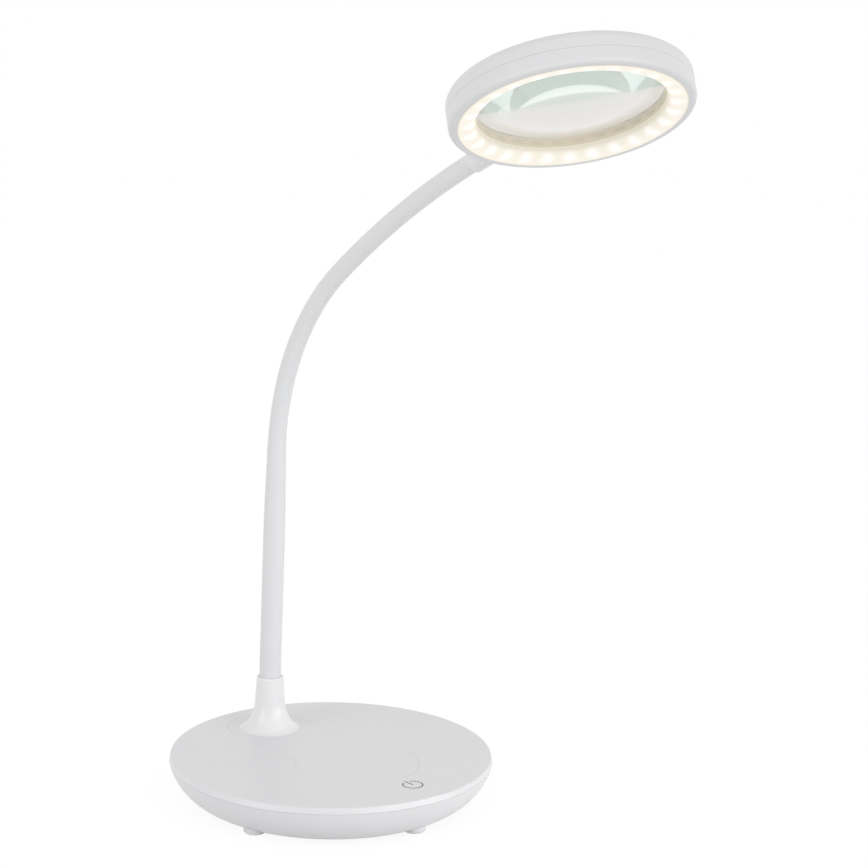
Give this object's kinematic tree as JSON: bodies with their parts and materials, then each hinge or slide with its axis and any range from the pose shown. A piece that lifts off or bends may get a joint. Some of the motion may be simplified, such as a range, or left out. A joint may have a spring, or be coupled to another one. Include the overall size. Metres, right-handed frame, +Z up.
{
  "type": "magnifying lamp",
  "caption": "Desk magnifier lamp: a round weighted base with a touch dimmer, a sleeved gooseneck arm and a ring light round a clear magnifying lens.",
  "frame": {"origin": "centre of the base on the table", "axes": "+Z up, -Y to the front, the way the head reaches out, +X to the right of someone behind the lamp"},
  "size_m": [0.17, 0.2984, 0.4077],
  "materials": {
    "white_shell": "satin, smooth moulded white",
    "white_sleeve": "smooth satin white silicone",
    "foot_rubber": "matte pale rubber",
    "ballast_iron": "raw",
    "steel": "zinc plated",
    "brass": "bright",
    "green_board": "solder mask",
    "white_board": "white solder mask",
    "light_chip": "phosphor",
    "black_plastic": "fine matte",
    "black_lead": "matte",
    "diffuser": "milky, lit from behind",
    "taupe_ring": "satin",
    "lens_glass": "polished clear"
  },
  "bodies": {
    "base": {"base_bowl": "white_shell", "top_cover": "white_shell", "keyhole_inlay": "white_shell", "ballast": "ballast_iron", "base_screws": "steel", "foot_1": "foot_rubber", "foot_2": "foot_rubber", "foot_3": "foot_rubber", "foot_4": "foot_rubber", "foot_5": "foot_rubber", "control_board": "green_board", "touch_electrode": "brass", "power_inlet": "black_plastic", "boot": "white_shell", "arm_root": "steel", "root_nut": "steel", "arm_sleeve": "white_sleeve", "arm_lead": "black_lead"},
    "arm_link_1": {"arm_link_1": "steel"},
    "arm_link_2": {"arm_link_2": "steel"},
    "arm_link_3": {"arm_link_3": "steel"},
    "arm_link_4": {"arm_link_4": "steel"},
    "arm_link_5": {"arm_link_5": "steel"},
    "arm_link_6": {"arm_link_6": "steel"},
    "arm_link_7": {"arm_link_7": "steel"},
    "arm_link_8": {"arm_link_8": "steel"},
    "arm_link_9": {"arm_link_9": "steel"},
    "arm_link_10": {"arm_link_10": "steel"},
    "arm_link_11": {"arm_link_11": "steel"},
    "arm_link_12": {"arm_link_12": "steel"},
    "arm_link_13": {"arm_link_13": "steel"},
    "arm_link_14": {"arm_link_14": "steel"},
    "head": {"arm_tip": "steel", "head_collar": "white_shell", "lower_shell": "white_shell", "upper_shell": "white_shell", "diffuser": "diffuser", "light_board": "white_board", "light_chips": "light_chip", "lens": "lens_glass", "lens_ring": "taupe_ring", "head_screws": "steel"}
  },
  "joints": [
    {"name": "lower_bend_1", "type": "hinge", "parent": "base", "child": "arm_link_1", "pos_m": [0, 0.05197, 0.064], "axis": [1, 0, 0], "range_deg": [-9, 9], "deforming": ["arm_sleeve", "arm_lead"]},
    {"name": "side_lean_1", "type": "hinge", "parent": "arm_link_1", "child": "arm_link_2", "pos_m": [0, 0.05121, 0.0882], "axis": [0, 0.9995, 0.0314], "range_deg": [-8, 8], "deforming": ["arm_sleeve", "arm_lead"]},
    {"name": "lower_bend_2", "type": "hinge", "parent": "arm_link_2", "child": "arm_link_3", "pos_m": [0, 0.05045, 0.11241], "axis": [1, 0, 0], "range_deg": [-9, 9], "deforming": ["arm_sleeve", "arm_lead"]},
    {"name": "side_lean_2", "type": "hinge", "parent": "arm_link_3", "child": "arm_link_4", "pos_m": [0, 0.04969, 0.13661], "axis": [0, 0.9995, 0.0314], "range_deg": [-8, 8], "deforming": ["arm_sleeve", "arm_lead"]},
    {"name": "lower_bend_3", "type": "hinge", "parent": "arm_link_4", "child": "arm_link_5", "pos_m": [0, 0.04893, 0.16081], "axis": [1, 0, 0], "range_deg": [-9, 9], "deforming": ["arm_sleeve", "arm_lead"]},
    {"name": "side_lean_3", "type": "hinge", "parent": "arm_link_5", "child": "arm_link_6", "pos_m": [0, 0.04795, 0.185], "axis": [0, 0.9962, 0.0877], "range_deg": [-8, 8], "deforming": ["arm_sleeve", "arm_lead"]},
    {"name": "upper_bend_1", "type": "hinge", "parent": "arm_link_6", "child": "arm_link_7", "pos_m": [0, 0.04371, 0.20881], "axis": [1, 0, 0], "range_deg": [-8, 8], "deforming": ["arm_sleeve", "arm_lead"]},
    {"name": "upper_bend_2", "type": "hinge", "parent": "arm_link_7", "child": "arm_link_8", "pos_m": [0, 0.03535, 0.23151], "axis": [1, 0, 0], "range_deg": [-8, 8], "deforming": ["arm_sleeve", "arm_lead"]},
    {"name": "upper_bend_3", "type": "hinge", "parent": "arm_link_8", "child": "arm_link_9", "pos_m": [0, 0.02314, 0.25238], "axis": [1, 0, 0], "range_deg": [-8, 8], "deforming": ["arm_sleeve", "arm_lead"]},
    {"name": "upper_bend_4", "type": "hinge", "parent": "arm_link_9", "child": "arm_link_10", "pos_m": [0, 0.00744, 0.27077], "axis": [1, 0, 0], "range_deg": [-8, 8], "deforming": ["arm_sleeve", "arm_lead"]},
    {"name": "upper_bend_5", "type": "hinge", "parent": "arm_link_10", "child": "arm_link_11", "pos_m": [0, -0.011, 0.28645], "axis": [1, 0, 0], "range_deg": [-8, 8], "deforming": ["arm_sleeve", "arm_lead"]},
    {"name": "head_turn_1", "type": "hinge", "parent": "arm_link_11", "child": "arm_link_12", "pos_m": [0, -0.03036, 0.30099], "axis": [0, 0.5824, 0.8129], "range_deg": [-12, 12], "deforming": ["arm_sleeve", "arm_lead"]},
    {"name": "upper_bend_6", "type": "hinge", "parent": "arm_link_12", "child": "arm_link_13", "pos_m": [0, -0.05035, 0.31465], "axis": [1, 0, 0], "range_deg": [-8, 8], "deforming": ["arm_sleeve", "arm_lead"]},
    {"name": "head_turn_2", "type": "hinge", "parent": "arm_link_13", "child": "arm_link_14", "pos_m": [0, -0.07094, 0.3274], "axis": [0, 0.5073, 0.8618], "range_deg": [-12, 12], "deforming": ["arm_sleeve", "arm_lead"]},
    {"name": "upper_bend_7", "type": "hinge", "parent": "arm_link_14", "child": "head", "pos_m": [0, -0.09207, 0.33921], "axis": [1, 0, 0], "range_deg": [-8, 8], "deforming": ["arm_sleeve", "arm_lead"]}
  ],
  "couplings": [
    {"joint": "lower_bend_2", "follows": "lower_bend_1", "ratio": 1},
    {"joint": "side_lean_2", "follows": "side_lean_1", "ratio": 1},
    {"joint": "lower_bend_3", "follows": "lower_bend_1", "ratio": 1},
    {"joint": "side_lean_3", "follows": "side_lean_1", "ratio": 1},
    {"joint": "upper_bend_2", "follows": "upper_bend_1", "ratio": 1},
    {"joint": "upper_bend_3", "follows": "upper_bend_1", "ratio": 1},
    {"joint": "upper_bend_4", "follows": "upper_bend_1", "ratio": 1},
    {"joint": "upper_bend_5", "follows": "upper_bend_1", "ratio": 1},
    {"joint": "upper_bend_6", "follows": "upper_bend_1", "ratio": 1},
    {"joint": "head_turn_2", "follows": "head_turn_1", "ratio": 1},
    {"joint": "upper_bend_7", "follows": "upper_bend_1", "ratio": 1}
  ]
}
